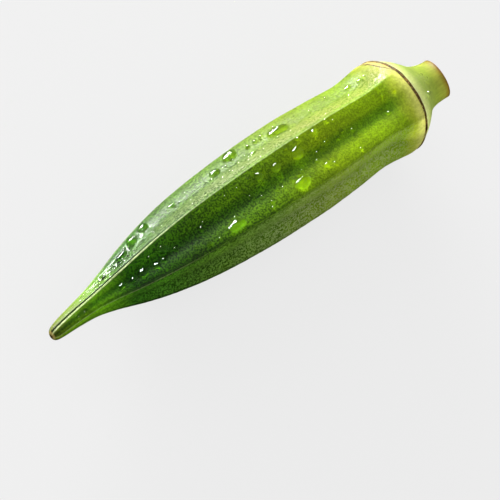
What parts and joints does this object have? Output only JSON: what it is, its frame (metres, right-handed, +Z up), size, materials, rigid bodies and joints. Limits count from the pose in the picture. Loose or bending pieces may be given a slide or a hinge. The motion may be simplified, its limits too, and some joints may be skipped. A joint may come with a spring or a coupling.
{
  "type": "okra pod",
  "caption": "Fresh green okra pod with ribbed sides, a blunt beak, a brown calyx scar and a short cut stalk, lying on its side, wet with water drops.",
  "frame": {"origin": "middle of the pod's footprint, on the surface that it lies on", "axes": "+X runs along the pod from its beak to its cut stalk, +Z up, +Y to the pod's left as seen from the beak's end looking towards the stalk"},
  "size_m": [0.101, 0.0198, 0.0191],
  "materials": {
    "pod_skin": "satin",
    "stalk_skin": "matte",
    "dried_scar": "matte",
    "water": "gloss"
  },
  "bodies": {
    "root": {"pod": "pod_skin", "stem_cap": "stalk_skin"}
  },
  "joints": []
}
